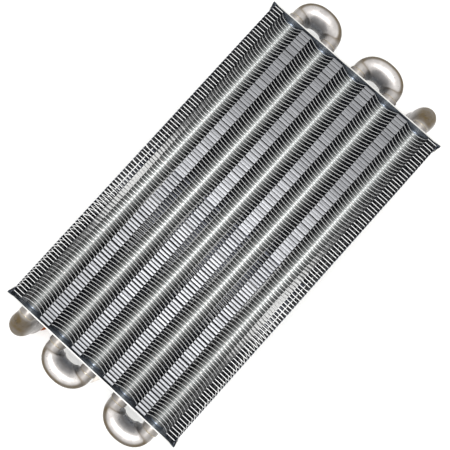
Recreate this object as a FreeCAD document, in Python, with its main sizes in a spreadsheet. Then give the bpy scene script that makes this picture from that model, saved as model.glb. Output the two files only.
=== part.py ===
import FreeCAD, Part
import math
import os

import Sketcher

# Finned-tube heat exchanger core of a gas boiler, in millimetres.
# X runs along the tubes, Y across them and Z up, towards the side where the flue gas leaves.
# The origin is the centre of the seat: the plane on which the two end plates stand.

doc = FreeCAD.newDocument("HeatExchangerCore")

SIZES = {
    "core_length": 260,
    "tube_count": 5,
    "tube_pitch": 28,
    "tube_width": 10.5,
    "tube_height": 26,
    "tube_wall": 0.9,
    "tube_axis_height": 24,
    "plate_thickness": 1,
    "plate_half_width": 72.9,
    "plate_height": 50.5,
    "plate_flange": 4,
    "plate_foot": 5,
    "plate_hole_gap": 0.05,
    "fin_count": 101,
    "fin_pitch": 2.54,
    "fin_thickness": 0.4,
    "fin_half_width": 71.6,
    "fin_row_shift": 0.4,
    "fin_shoulder": 20,
    "fin_crest": 49.5,
    "fin_hole_gap": 0.1,
    "valley_radius": 10,
    "valley_floor": 38.2,
    "lobe_radius": 6.8,
    "lobe_floor": 7,
    "tab_width": 8,
    "tab_reach": 1.8,
    "notch_tab_width": 14,
    "foot_tab_width": 3.6,
    "collar_length": 6.5,
    "collar_wall": 0.9,
    "bend_leg": 7.2,
    "ring_length": 0.8,
    "ring_width": 0.8,
    "elbow_pivot": 5,
    "elbow_inner_radius": 2,
    "elbow_tail": 14,
    "socket_depth": 8,
    "pipe_radius": 9,
    "pipe_wall": 1,
    "pipe_end": -50,
    "pipe_bead_radius": 10.8,
    "pipe_bead_length": 3,
    "pipe_spigot": 12,
    "strip_thickness": 0.5,
    "strip_height": 20,
    "strip_amplitude": 3.2,
    "strip_wave": 15,
    "strip_waves": 15,
    "tag_reach": 13,
    "tag_side": 7,
    "tag_height": 22,
    "tag_thickness": 1,
}

sheet = doc.addObject("Spreadsheet::Sheet", "Sizes")
for row, (alias, number) in enumerate(SIZES.items(), start=1):
    sheet.set(f"A{row}", alias)
    sheet.set(f"B{row}", str(number))
    sheet.setAlias(f"B{row}", alias)
doc.recompute()

FIN_PACKS = 5
ORIGIN = (-1, 1)
START, END, CENTRE = 1, 2, 3


def value(formula):
    """The number that a formula over the sheet's cells gives now."""
    return float(sheet.evalExpression(formula))


def bind(owner, field, formula):
    owner.setExpression(field, formula)


def new_body(label):
    body = doc.addObject("PartDesign::Body", label)
    body.Label = label
    return body


def new_sketch(body, name, role, offset=None):
    """A sketch on one of the body's own origin planes, moved along its normal by a formula."""
    sketch = body.newObject("Sketcher::SketchObject", name)
    plane = [feature for feature in body.Origin.OriginFeatures if feature.Role == role][0]
    sketch.AttachmentSupport = (plane, [""])
    sketch.MapMode = "FlatFace"
    if offset is not None:
        bind(sketch, "AttachmentOffset.Base.z", offset)
    return sketch


def measure(sketch, kind, where, formula):
    """Place one point of the sketch at a bound distance from its origin."""
    index = sketch.addConstraint(Sketcher.Constraint(kind, *ORIGIN, *where, value(formula)))
    bind(sketch, f"Constraints[{index}]", formula)


def measure_radius(sketch, curve, formula):
    index = sketch.addConstraint(Sketcher.Constraint("Radius", curve, value(formula)))
    bind(sketch, f"Constraints[{index}]", formula)


def line(sketch, start, end):
    first = FreeCAD.Vector(start[0], start[1], 0)
    last = FreeCAD.Vector(end[0], end[1], 0)
    return sketch.addGeometry(Part.LineSegment(first, last), False)


def polygon(sketch, corners):
    """A closed outline whose corners are (across, up) pairs of formulas."""
    places = [(value(across), value(up)) for across, up in corners]
    sides = [line(sketch, places[i], places[(i + 1) % len(places)]) for i in range(len(places))]
    for i, side in enumerate(sides):
        following = sides[(i + 1) % len(sides)]
        sketch.addConstraint(Sketcher.Constraint("Coincident", side, END, following, START))
        measure(sketch, "DistanceX", (side, START), corners[i][0])
        measure(sketch, "DistanceY", (side, START), corners[i][1])
    return sides


def rectangle(sketch, left, right, bottom, top):
    return polygon(sketch, [(left, bottom), (right, bottom), (right, top), (left, top)])


def circle(sketch, across, up, radius):
    middle = FreeCAD.Vector(value(across), value(up), 0)
    normal = FreeCAD.Vector(0, 0, 1)
    curve = sketch.addGeometry(Part.Circle(middle, normal, value(radius)), False)
    measure(sketch, "DistanceX", (curve, CENTRE), across)
    measure(sketch, "DistanceY", (curve, CENTRE), up)
    measure_radius(sketch, curve, radius)


def oval(sketch, across, up, width, height):
    """A tall oval: two half circles joined by straight flanks."""
    radius = value(width) / 2
    reach = (value(height) - value(width)) / 2
    middle_across, middle_up = value(across), value(up)
    normal = FreeCAD.Vector(0, 0, 1)
    top_middle = FreeCAD.Vector(middle_across, middle_up + reach, 0)
    low_middle = FreeCAD.Vector(middle_across, middle_up - reach, 0)
    top = sketch.addGeometry(Part.ArcOfCircle(Part.Circle(top_middle, normal, radius), 0, math.pi), False)
    low = sketch.addGeometry(
        Part.ArcOfCircle(Part.Circle(low_middle, normal, radius), math.pi, 2 * math.pi), False)
    left = line(sketch, (middle_across - radius, top_middle.y), (middle_across - radius, low_middle.y))
    right = line(sketch, (middle_across + radius, low_middle.y), (middle_across + radius, top_middle.y))
    for first, second in ((top, left), (left, low), (low, right), (right, top)):
        sketch.addConstraint(Sketcher.Constraint("Tangent", first, END, second, START))
    sketch.addConstraint(Sketcher.Constraint("Equal", top, low))
    measure_radius(sketch, top, f"({width}) / 2")
    for curve, sign in ((top, "+"), (low, "-")):
        measure(sketch, "DistanceX", (curve, CENTRE), across)
        measure(sketch, "DistanceY", (curve, CENTRE), f"{up} {sign} (({height}) - ({width})) / 2")


def pad(body, sketch, length, reverse=False):
    feature = body.newObject("PartDesign::Pad", sketch.Name + "Pad")
    feature.Profile = sketch
    bind(feature, "Length", length)
    feature.Reversed = reverse
    sketch.Visibility = False
    return feature


def pocket_through(body, sketch):
    feature = body.newObject("PartDesign::Pocket", sketch.Name + "Pocket")
    feature.Profile = sketch
    feature.Type = "ThroughAll"
    feature.Midplane = True
    sketch.Visibility = False
    return feature


def repeat(body, features, axis_role, length, count):
    """Repeat features along one of the body's origin axes, over a bound length."""
    pattern = body.newObject("PartDesign::LinearPattern", features[0].Name + "Row")
    axis = [feature for feature in body.Origin.OriginFeatures if feature.Role == axis_role][0]
    pattern.Originals = features
    pattern.Direction = (axis, [""])
    bind(pattern, "Length", length)
    bind(pattern, "Occurrences", count)
    body.Tip = pattern
    return pattern


FIRST_TUBE = "-(Sizes.tube_count - 1) / 2 * Sizes.tube_pitch"
TUBE_SPAN = "(Sizes.tube_count - 1) * Sizes.tube_pitch"
GAP_SPAN = "(Sizes.tube_count - 2) * Sizes.tube_pitch"
FIRST_GAP = "-(Sizes.tube_count - 2) / 2 * Sizes.tube_pitch"
AXIS = "Sizes.tube_axis_height"


def make_fin(label):
    """One sheet fin, with its face towards -X on the YZ plane."""
    body = new_body(label)
    blank = new_sketch(body, label + "_blank", "YZ_Plane")
    rectangle(blank, "-Sizes.fin_half_width", "Sizes.fin_half_width", "Sizes.fin_shoulder", "Sizes.fin_crest")
    pad(body, blank, "Sizes.fin_thickness")

    # a tongue of fin hangs round the lower half of each tube, on the burner side
    tongue = new_sketch(body, label + "_tongue", "YZ_Plane")
    tongue_height = f"2 * ({AXIS} - Sizes.lobe_floor)"
    oval(tongue, FIRST_TUBE, AXIS, "2 * Sizes.lobe_radius", tongue_height)
    tongue_pad = pad(body, tongue, "Sizes.fin_thickness")
    repeat(body, [tongue_pad], "Y_Axis", TUBE_SPAN, "Sizes.tube_count")

    # the top edge dips in a bowl over each tube
    bowl = new_sketch(body, label + "_bowl", "YZ_Plane")
    circle(bowl, FIRST_TUBE, "Sizes.valley_floor + Sizes.valley_radius", "Sizes.valley_radius")
    bowl_pocket = pocket_through(body, bowl)
    repeat(body, [bowl_pocket], "Y_Axis", TUBE_SPAN, "Sizes.tube_count")

    hole = new_sketch(body, label + "_hole", "YZ_Plane")
    gap = "2 * Sizes.fin_hole_gap"
    oval(hole, FIRST_TUBE, AXIS, f"Sizes.tube_width + {gap}", f"Sizes.tube_height + {gap}")
    hole_pocket = pocket_through(body, hole)
    repeat(body, [hole_pocket], "Y_Axis", TUBE_SPAN, "Sizes.tube_count")

    # tabs bent towards -X nearly reach the next fin: on the crests, in the notches and at the feet
    crest_tab = new_sketch(body, label + "_crest_tab", "YZ_Plane")
    crest_low = "Sizes.fin_crest - Sizes.fin_thickness"
    half_tab = "Sizes.tab_width / 2"
    rectangle(crest_tab, f"{FIRST_GAP} - {half_tab}", f"{FIRST_GAP} + {half_tab}", crest_low, "Sizes.fin_crest")
    crest_pad = pad(body, crest_tab, "Sizes.tab_reach", reverse=True)

    notch_tab = new_sketch(body, label + "_notch_tab", "YZ_Plane")
    shoulder_top = "Sizes.fin_shoulder + Sizes.fin_thickness"
    half_notch = "Sizes.notch_tab_width / 2"
    rectangle(notch_tab, f"{FIRST_GAP} - {half_notch}", f"{FIRST_GAP} + {half_notch}",
              "Sizes.fin_shoulder", shoulder_top)
    notch_pad = pad(body, notch_tab, "Sizes.tab_reach", reverse=True)
    repeat(body, [crest_pad, notch_pad], "Y_Axis", GAP_SPAN, "Sizes.tube_count - 1")

    for side in (-1, 1):
        hook = new_sketch(body, f"{label}_hook_{side + 1}", "YZ_Plane")
        edge = f"{side} * Sizes.fin_half_width"
        wall = f"{side} * (Sizes.fin_half_width - Sizes.fin_thickness)"
        toe = f"{side} * (Sizes.fin_half_width - Sizes.foot_tab_width)"
        polygon(hook, [(edge, "Sizes.fin_shoulder"), (edge, "Sizes.fin_crest - 2"), (wall, "Sizes.fin_crest - 2"),
                       (wall, shoulder_top), (toe, shoulder_top), (toe, "Sizes.fin_shoulder")])
        pad(body, hook, "Sizes.tab_reach", reverse=True)
    return body


def make_fin_pack(fin, index):
    """A run of fins taken from the whole row, each one a separate solid."""
    count = round(value("Sizes.fin_count"))
    pitch = value("Sizes.fin_pitch")
    first = count * index // FIN_PACKS
    last = count * (index + 1) // FIN_PACKS
    start = value("Sizes.fin_row_shift") - (count - 1) / 2 * pitch
    fins = []
    for place in range(first, last):
        copy = fin.Shape.copy()
        copy.translate(FreeCAD.Vector(start + place * pitch, 0, 0))
        fins.append(copy)
    pack = doc.addObject("Part::Feature", f"fin_pack_{index + 1}")
    pack.Label = pack.Name
    pack.Shape = Part.makeCompound(fins)
    return pack


def make_end_plate(label, side):
    """A pressed end plate: flanges turn in round the fins, a foot turns out to stand on."""
    body = new_body(label)
    outer = "Sizes.plate_half_width"
    thick = "Sizes.plate_thickness"
    web = new_sketch(body, label + "_web", "YZ_Plane")
    rectangle(web, f"-{outer}", outer, "0", "Sizes.plate_height")
    pad(body, web, thick, reverse=True)
    foot = new_sketch(body, label + "_foot", "YZ_Plane")
    rectangle(foot, f"-{outer}", outer, "0", thick)
    pad(body, foot, "Sizes.plate_foot")
    for edge in (-1, 1):
        flange = new_sketch(body, f"{label}_flange_{edge + 1}", "YZ_Plane")
        polygon(flange, [(f"{edge} * {outer}", "Sizes.fin_shoulder"), (f"{edge} * {outer}", "Sizes.plate_height"),
                         (f"{edge} * ({outer} - {thick})", "Sizes.plate_height"),
                         (f"{edge} * ({outer} - {thick})", "Sizes.fin_shoulder")])
        pad(body, flange, f"{thick} + Sizes.plate_flange", reverse=True)
    hole = new_sketch(body, label + "_hole", "YZ_Plane")
    gap = "2 * Sizes.plate_hole_gap"
    oval(hole, FIRST_TUBE, AXIS, f"Sizes.tube_width + {gap}", f"Sizes.tube_height + {gap}")
    hole_pocket = pocket_through(body, hole)
    repeat(body, [hole_pocket], "Y_Axis", TUBE_SPAN, "Sizes.tube_count")
    face_end(body, side, "0", "0")
    return body


def face_end(body, side, across, up):
    """Stand a body on the outer face of one end of the core, turned to face outwards."""
    if side < 0:
        body.Placement.Rotation = FreeCAD.Rotation(FreeCAD.Vector(0, 0, 1), 180)
    bind(body, "Placement.Base.x", f"{side} * Sizes.core_length / 2")
    bind(body, "Placement.Base.y", across)
    bind(body, "Placement.Base.z", up)


def tube_place(number):
    """The Y formula of tube 1, 2, ... counted from the +Y side."""
    return f"((Sizes.tube_count - 1) / 2 - {number - 1}) * Sizes.tube_pitch"


def make_tube(number):
    """A flattened tube with both ends belled outside the end plates to take the bends."""
    body = new_body(f"tube_{number}")
    inner_width = "Sizes.tube_width - 2 * Sizes.tube_wall"
    inner_height = "Sizes.tube_height - 2 * Sizes.tube_wall"
    barrel = new_sketch(body, body.Name + "_barrel", "YZ_Plane")
    oval(barrel, "0", "0", "Sizes.tube_width", "Sizes.tube_height")
    oval(barrel, "0", "0", inner_width, inner_height)
    barrel_pad = pad(body, barrel, "Sizes.core_length")
    barrel_pad.Midplane = True
    for side in (-1, 1):
        collar = new_sketch(body, f"{body.Name}_collar_{side + 1}", "YZ_Plane", f"{side} * Sizes.core_length / 2")
        grown = "2 * Sizes.collar_wall"
        oval(collar, "0", "0", f"Sizes.tube_width + {grown}", f"Sizes.tube_height + {grown}")
        oval(collar, "0", "0", "Sizes.tube_width", "Sizes.tube_height")
        pad(body, collar, "Sizes.collar_length", reverse=side < 0)
        # the shoulder where the bell starts joins it to the barrel
        shoulder = new_sketch(body, f"{body.Name}_shoulder_{side + 1}", "YZ_Plane",
                              f"{side} * Sizes.core_length / 2")
        oval(shoulder, "0", "0", f"Sizes.tube_width + {grown}", f"Sizes.tube_height + {grown}")
        oval(shoulder, "0", "0", inner_width, inner_height)
        pad(body, shoulder, "Sizes.collar_wall", reverse=side < 0)
    bind(body, "Placement.Base.y", tube_place(number))
    bind(body, "Placement.Base.z", AXIS)
    return body


def make_return_bend(label, side, upper):
    """A flattened U bend that joins tube 'upper' to the next one, seated in their bells."""
    body = new_body(label)
    half = value("Sizes.tube_pitch / 2")
    start = value("Sizes.collar_wall")
    leg = value("Sizes.bend_leg")
    path = new_sketch(body, label + "_path", "XY_Plane")
    first = line(path, (start, half), (leg, half))
    middle = FreeCAD.Vector(leg, 0, 0)
    turn_circle = Part.Circle(middle, FreeCAD.Vector(0, 0, 1), half)
    turn = path.addGeometry(Part.ArcOfCircle(turn_circle, -math.pi / 2, math.pi / 2), False)
    last = line(path, (leg, -half), (start, -half))
    path.addConstraint(Sketcher.Constraint("Tangent", first, END, turn, END))
    path.addConstraint(Sketcher.Constraint("Tangent", turn, START, last, START))
    measure(path, "DistanceX", (first, START), "Sizes.collar_wall")
    measure(path, "DistanceY", (first, START), "Sizes.tube_pitch / 2")
    measure(path, "DistanceX", (last, END), "Sizes.collar_wall")
    measure(path, "DistanceX", (turn, CENTRE), "Sizes.bend_leg")
    measure(path, "DistanceY", (turn, CENTRE), "0")
    section = new_sketch(body, label + "_section", "YZ_Plane", "Sizes.collar_wall")
    oval(section, "Sizes.tube_pitch / 2", "0", "Sizes.tube_width", "Sizes.tube_height")
    oval(section, "Sizes.tube_pitch / 2", "0", "Sizes.tube_width - 2 * Sizes.tube_wall",
         "Sizes.tube_height - 2 * Sizes.tube_wall")
    pipe = body.newObject("PartDesign::AdditivePipe", label + "_pipe")
    pipe.Profile = section
    pipe.Spine = path
    path.Visibility = False
    section.Visibility = False
    face_end(body, side, f"{tube_place(upper)} - Sizes.tube_pitch / 2", AXIS)
    return body


PIVOT_HEIGHT = "(Sizes.tube_axis_height - Sizes.tube_height / 2 - Sizes.elbow_inner_radius)"
PIPE_OFFSET = "(Sizes.elbow_pivot + Sizes.elbow_inner_radius + Sizes.pipe_radius)"
SOCKET_TOP = f"({PIVOT_HEIGHT} - Sizes.elbow_tail)"
ELBOW_ANGLES = (0, 30, 60, 90)


def elbow_section(label, index, angle, slack):
    """One ring of the elbow, in a plane that fans about the pivot from upright to level."""
    turned = angle / 90
    tall = "Sizes.tube_height / 2"
    major = f"{tall} * {1 - turned} + Sizes.pipe_radius * {turned} - {slack}"
    minor = f"Sizes.tube_width / 2 * {1 - turned ** 2} + Sizes.pipe_radius * {turned ** 2} - {slack}"
    reach = value(f"Sizes.elbow_inner_radius + {tall} * {1 - turned} + Sizes.pipe_radius * {turned}")
    radians = math.radians(angle)
    # local X of the ring points from the pivot outwards, local Y lies along the core's Y
    outwards = FreeCAD.Vector(math.sin(radians), 0, math.cos(radians))
    pivot = FreeCAD.Vector(value("Sizes.elbow_pivot"), 0, value(PIVOT_HEIGHT))
    turn = FreeCAD.Rotation(outwards, FreeCAD.Vector(0, 1, 0), FreeCAD.Vector(), "XYZ")
    if angle == 90:
        ring = doc.addObject("Part::Circle", f"{label}_ring_{index}")
        bind(ring, "Radius", major)
    else:
        ring = doc.addObject("Part::Ellipse", f"{label}_ring_{index}")
        ring.MajorRadius = value(major)
        bind(ring, "MinorRadius", minor)
        bind(ring, "MajorRadius", major)
    ring.Placement = FreeCAD.Placement(pivot + outwards * reach, turn)
    return ring


def elbow_skin(label, slack):
    """The elbow's skin, from the oval mouth in the bell to the round mouth that points down."""
    rings = [elbow_section(label, index, angle, slack) for index, angle in enumerate(ELBOW_ANGLES)]
    loft = doc.addObject("Part::Loft", label + "_turn")
    loft.Sections = rings
    loft.Solid = True
    loft.Ruled = False
    mouth = doc.addObject("Part::Extrusion", label + "_mouth")
    mouth.Base = rings[0]
    mouth.DirMode = "Custom"
    mouth.Dir = FreeCAD.Vector(-1, 0, 0)
    mouth.Solid = True
    bind(mouth, "LengthFwd", "Sizes.elbow_pivot - Sizes.collar_wall")
    return [loft, mouth]


def tail_cylinder(label, radius, top, bottom):
    """An upright cylinder on the elbow's round mouth axis."""
    cylinder = doc.addObject("Part::Cylinder", label)
    bind(cylinder, "Radius", radius)
    bind(cylinder, "Height", f"{top} - ({bottom})")
    bind(cylinder, "Placement.Base.x", PIPE_OFFSET)
    bind(cylinder, "Placement.Base.z", bottom)
    return cylinder


def make_elbow(label, side, number):
    """The port elbow: oval at the tube, round and belled at the pipe."""
    skin = elbow_skin(label + "_skin", "0")
    tail = tail_cylinder(label + "_tail", "Sizes.pipe_radius", PIVOT_HEIGHT, SOCKET_TOP)
    socket = tail_cylinder(label + "_socket", "Sizes.pipe_radius + Sizes.tube_wall",
                           f"{SOCKET_TOP} + Sizes.tube_wall", f"{SOCKET_TOP} - Sizes.socket_depth")
    whole = doc.addObject("Part::MultiFuse", label + "_whole")
    whole.Shapes = skin + [tail, socket]
    way = elbow_skin(label + "_way", "Sizes.tube_wall")
    drop = tail_cylinder(label + "_drop", "Sizes.pipe_radius - Sizes.tube_wall", PIVOT_HEIGHT, SOCKET_TOP)
    seat = tail_cylinder(label + "_seat", "Sizes.pipe_radius", SOCKET_TOP, f"{SOCKET_TOP} - Sizes.socket_depth")
    hollow = doc.addObject("Part::MultiFuse", label + "_hollow")
    hollow.Shapes = way + [drop, seat]
    elbow = doc.addObject("Part::Cut", label)
    elbow.Label = label
    elbow.Base = whole
    elbow.Tool = hollow
    face_end(elbow, side, tube_place(number), "0")
    return elbow


def make_pipe(label, side, number):
    """The bare copper pipe below an elbow, with a bead above its plain end."""
    body = new_body(label)
    half = new_sketch(body, label + "_half", "XZ_Plane")
    outer = "Sizes.pipe_radius"
    inner = "Sizes.pipe_radius - Sizes.pipe_wall"
    bead_low = "Sizes.pipe_end + Sizes.pipe_spigot"
    bead_top = f"{bead_low} + Sizes.pipe_bead_length"
    polygon(half, [(inner, "Sizes.pipe_end"), (outer, "Sizes.pipe_end"), (outer, bead_low),
                   ("Sizes.pipe_bead_radius", f"{bead_low} + Sizes.pipe_bead_length / 4"),
                   ("Sizes.pipe_bead_radius", f"{bead_top} - Sizes.pipe_bead_length / 4"),
                   (outer, bead_top), (outer, SOCKET_TOP), (inner, SOCKET_TOP)])
    turned = body.newObject("PartDesign::Revolution", label + "_turned")
    turned.Profile = half
    turned.ReferenceAxis = (half, ["V_Axis"])
    turned.Angle = 360
    half.Visibility = False
    face_end(body, side, tube_place(number), "0")
    bind(body, "Placement.Base.x", f"{side} * (Sizes.core_length / 2 + {PIPE_OFFSET})")
    return body


def make_rings(label, side):
    """Brazed rings that close the mouths of the five bells at one end."""
    body = new_body(label)
    body.AllowCompound = True
    ring = new_sketch(body, label + "_ring", "YZ_Plane", "Sizes.collar_length")
    grown = "2 * Sizes.ring_width"
    oval(ring, FIRST_TUBE, AXIS, f"Sizes.tube_width + {grown}", f"Sizes.tube_height + {grown}")
    oval(ring, FIRST_TUBE, AXIS, "Sizes.tube_width", "Sizes.tube_height")
    ring_pad = pad(body, ring, "Sizes.ring_length")
    repeat(body, [ring_pad], "Y_Axis", TUBE_SPAN, "Sizes.tube_count")
    face_end(body, side, "0", "0")
    return body


def make_turbulator(number):
    """A zigzag strip inside a tube, folded from flat sheet, one wave repeated along X."""
    body = new_body(f"turbulator_{number}")
    wave = new_sketch(body, body.Name + "_wave", "XY_Plane", "-Sizes.strip_height / 2")
    start = "-Sizes.strip_waves / 2 * Sizes.strip_wave"
    steps = [(0, -1), (0.5, 1), (1, -1)]
    near = [(f"{start} + {x} * Sizes.strip_wave", f"{y} * Sizes.strip_amplitude") for x, y in steps]
    far = [(x, f"{y} + Sizes.strip_thickness") for x, y in reversed(near)]
    polygon(wave, near + far)
    wave_pad = pad(body, wave, "Sizes.strip_height")
    repeat(body, [wave_pad], "X_Axis", "(Sizes.strip_waves - 1) * Sizes.strip_wave", "Sizes.strip_waves")
    bind(body, "Placement.Base.y", tube_place(number))
    bind(body, "Placement.Base.z", AXIS)
    return body


def make_tag():
    """A small three-cornered tag between the end plate and the leg of tube 3's bend."""
    body = new_body("corner_tag")
    outline = new_sketch(body, "corner_tag_outline", "XY_Plane")
    leg_side = "Sizes.tube_width / 2 + Sizes.collar_wall"
    polygon(outline, [("0", leg_side), ("Sizes.tag_reach", leg_side), ("0", f"{leg_side} + Sizes.tag_side")])
    pad(body, outline, "Sizes.tag_thickness")
    face_end(body, -1, tube_place(3), "Sizes.tag_height")
    return body


def make_parts():
    fin = make_fin("fin_blank")
    doc.recompute()
    parts = [make_fin_pack(fin, index) for index in range(FIN_PACKS)]
    parts += [make_end_plate("end_plate_left", -1), make_end_plate("end_plate_right", 1)]
    tubes = range(1, round(value("Sizes.tube_count")) + 1)
    parts += [make_tube(number) for number in tubes]
    parts += [make_turbulator(number) for number in tubes]
    parts += [make_return_bend("return_bend_2_3", -1, 2), make_return_bend("return_bend_4_5", -1, 4)]
    parts += [make_return_bend("return_bend_1_2", 1, 1), make_return_bend("return_bend_3_4", 1, 3)]
    parts += [make_elbow("inlet_elbow", -1, 1), make_elbow("outlet_elbow", 1, 5)]
    parts += [make_pipe("inlet_pipe", -1, 1), make_pipe("outlet_pipe", 1, 5)]
    parts += [make_rings("braze_rings_left", -1), make_rings("braze_rings_right", 1)]
    parts.append(make_tag())
    return parts


def check(parts):
    for thing in doc.Objects:
        bad = [word for word in thing.State if word in ("Invalid", "Error")]
        if bad:
            raise RuntimeError(f"{thing.Label} did not build: {bad}")
    for part in parts:
        if part.Shape.isNull() or not part.Shape.isValid() or not part.Shape.Solids:
            raise RuntimeError(f"{part.Label} has no sound shape")


parts = make_parts()
doc.recompute()
check(parts)
os.makedirs("parts", exist_ok=True)
for part in parts:
    part.Shape.exportStep(f"parts/{part.Label}.step")
    box = part.Shape.BoundBox
    print(f"{part.Label:20s} solids {len(part.Shape.Solids):3d} volume {part.Shape.Volume:10.1f} "
          f"X {box.XMin:8.2f} {box.XMax:8.2f} Y {box.YMin:7.2f} {box.YMax:7.2f} Z {box.ZMin:7.2f} {box.ZMax:7.2f}")
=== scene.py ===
import bpy
import bmesh
from math import cos, exp, pi, radians, sin
from mathutils import Matrix, Quaternion, Vector, noise
from mathutils.geometry import delaunay_2d_cdt


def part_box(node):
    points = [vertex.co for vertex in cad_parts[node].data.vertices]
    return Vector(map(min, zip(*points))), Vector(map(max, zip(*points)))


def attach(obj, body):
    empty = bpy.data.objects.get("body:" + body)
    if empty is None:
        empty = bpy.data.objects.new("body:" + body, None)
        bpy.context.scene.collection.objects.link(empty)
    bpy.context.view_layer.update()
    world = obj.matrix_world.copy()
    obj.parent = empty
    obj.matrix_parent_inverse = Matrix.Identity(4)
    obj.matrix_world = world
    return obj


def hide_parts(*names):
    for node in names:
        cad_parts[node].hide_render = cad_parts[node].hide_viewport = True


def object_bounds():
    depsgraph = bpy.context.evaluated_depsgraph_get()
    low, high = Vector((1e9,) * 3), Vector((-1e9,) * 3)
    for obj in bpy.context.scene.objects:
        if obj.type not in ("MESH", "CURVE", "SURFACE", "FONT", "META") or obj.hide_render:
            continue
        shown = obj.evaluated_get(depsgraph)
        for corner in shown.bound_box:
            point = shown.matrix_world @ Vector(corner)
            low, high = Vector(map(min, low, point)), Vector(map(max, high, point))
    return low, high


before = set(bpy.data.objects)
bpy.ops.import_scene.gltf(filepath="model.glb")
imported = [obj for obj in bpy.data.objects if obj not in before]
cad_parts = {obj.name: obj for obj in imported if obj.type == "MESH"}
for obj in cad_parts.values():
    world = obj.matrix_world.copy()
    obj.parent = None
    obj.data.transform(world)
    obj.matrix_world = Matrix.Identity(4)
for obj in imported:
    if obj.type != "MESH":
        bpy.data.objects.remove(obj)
cadLow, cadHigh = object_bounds()
scene = bpy.context.scene
scene.view_settings.view_transform = "Standard"  # keeps the pale floor pale
mm = 0.001

# Boiler heat exchanger core. X runs along the tubes, Y across them, Z up to the flue side.
# All sizes below are in millimetres unless a name says otherwise.


def cadBox(node):
    low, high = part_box(node)
    return low / mm, high / mm


plateLow, plateHigh = cadBox("end_plate_right")
finsLow, finsHigh = cadBox("fin_pack_1")
lastFinEnd = cadBox("fin_pack_5")[1].x
tubeBoxes = [cadBox(f"tube_{number}") for number in range(1, 6)]
tubeRows = [(low.y + high.y) / 2 for low, high in tubeBoxes]
tubeAxis = (tubeBoxes[0][0].z + tubeBoxes[0][1].z) / 2
rowPitch = tubeRows[0] - tubeRows[1]
bellEnd = tubeBoxes[0][1].x
bellLength = 6.5  # from an end plate's outer face to the end of a tube's bell
creaseAngle = 35  # degrees; a sharper edge than this stays crisp

core = {
    "plateFace": bellEnd - bellLength,  # outer face of each end plate
    "tubeWidth": 10.5,
    "tubeHeight": 26,
    "tubeWall": 0.9,
    "halfWidth": finsHigh.y,
    "crest": finsHigh.z,
    "lobeFloor": finsLow.z,
}


# ---- mesh helpers

def newPiece(name, build, material, smoothAngle=creaseAngle):
    mesh = bpy.data.meshes.new(name)
    build.normal_update()
    build.to_mesh(mesh)
    build.free()
    mesh.transform(Matrix.Scale(mm, 4))
    mesh.materials.append(material)
    mesh.polygons.foreach_set("use_smooth", [True] * len(mesh.polygons))
    mesh.set_sharp_from_angle(angle=radians(smoothAngle))
    piece = bpy.data.objects.new(name, mesh)
    scene.collection.objects.link(piece)
    return piece


def declare(piece, slotName, *nodes):
    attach(piece, "root")
    if nodes:
        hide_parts(*nodes)
    return piece


def skinRings(build, rings, layer=None, amounts=None):
    # joins rings of equal length into quads, the last ring to the first as well, and writes
    # the amounts, one for each point, to the vertex layer
    verts = [[build.verts.new(point) for point in ring] for ring in rings]
    if layer is not None:
        for ring, values in zip(verts, amounts):
            for vert, amount in zip(ring, values):
                vert[layer] = amount
    count = len(rings[0])
    for first, second in zip(verts, verts[1:] + verts[:1]):
        for i in range(count):
            j = (i + 1) % count
            build.faces.new((first[i], first[j], second[j], second[i]))


def outwards(build):
    bmesh.ops.recalc_face_normals(build, faces=build.faces)


def power(number, exponent):
    return abs(number) ** exponent * (1 if number >= 0 else -1)


def clamp(number):
    return max(0.0, min(1.0, number))


def ovalPoints(width, height, steps):
    # a tall oval, two half rounds joined by flat flanks, as (across, up) pairs
    points = []
    flank = height - width
    for end in (1, -1):
        for i in range(steps + 1):
            angle = pi * i / steps
            across = cos(angle) * width / 2 * end
            up = (sin(angle) * width / 2 + flank / 2) * end
            points.append((across, up))
    return points


# ---- sheet metal: a flat outline with holes is filled, then its edges are turned

def insideLoop(point, loop):
    inside = False
    for (x1, y1), (x2, y2) in zip(loop, loop[1:] + loop[:1]):
        if (y1 > point[1]) != (y2 > point[1]):
            if point[0] < (x2 - x1) * (point[1] - y1) / (y2 - y1) + x1:
                inside = not inside
    return inside


def flatSheet(build, outline, holes):
    # outline and holes are lists of (y, z); returns the vertex at each (y, z)
    loops = [outline] + holes
    points = [Vector(point) for loop in loops for point in loop]
    edges, start = [], 0
    for loop in loops:
        edges += [(start + i, start + (i + 1) % len(loop)) for i in range(len(loop))]
        start += len(loop)
    flat, _, faces, origins, _, _ = delaunay_2d_cdt(points, edges, [], 0, 1e-5)
    verts = [build.verts.new((0, point.x, point.y)) for point in flat]
    for face in faces:
        middle = sum((flat[i] for i in face), Vector((0, 0))) / len(face)
        if insideLoop(middle, outline) and not any(insideLoop(middle, hole) for hole in holes):
            build.faces.new([verts[i] for i in face])
    lookup = {}
    for vert, sources in zip(verts, origins):
        for source in sources:
            lookup[tuple(round(c, 4) for c in points[source])] = vert
    return lookup


def vertAt(lookup, y, z):
    return lookup[(round(y, 4), round(z, 4))]


foldSteps = 4  # faces round a fold; its straight part adds two more
straightParts = (0.8, 1)  # where those two end, so that only the last one tapers


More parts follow.
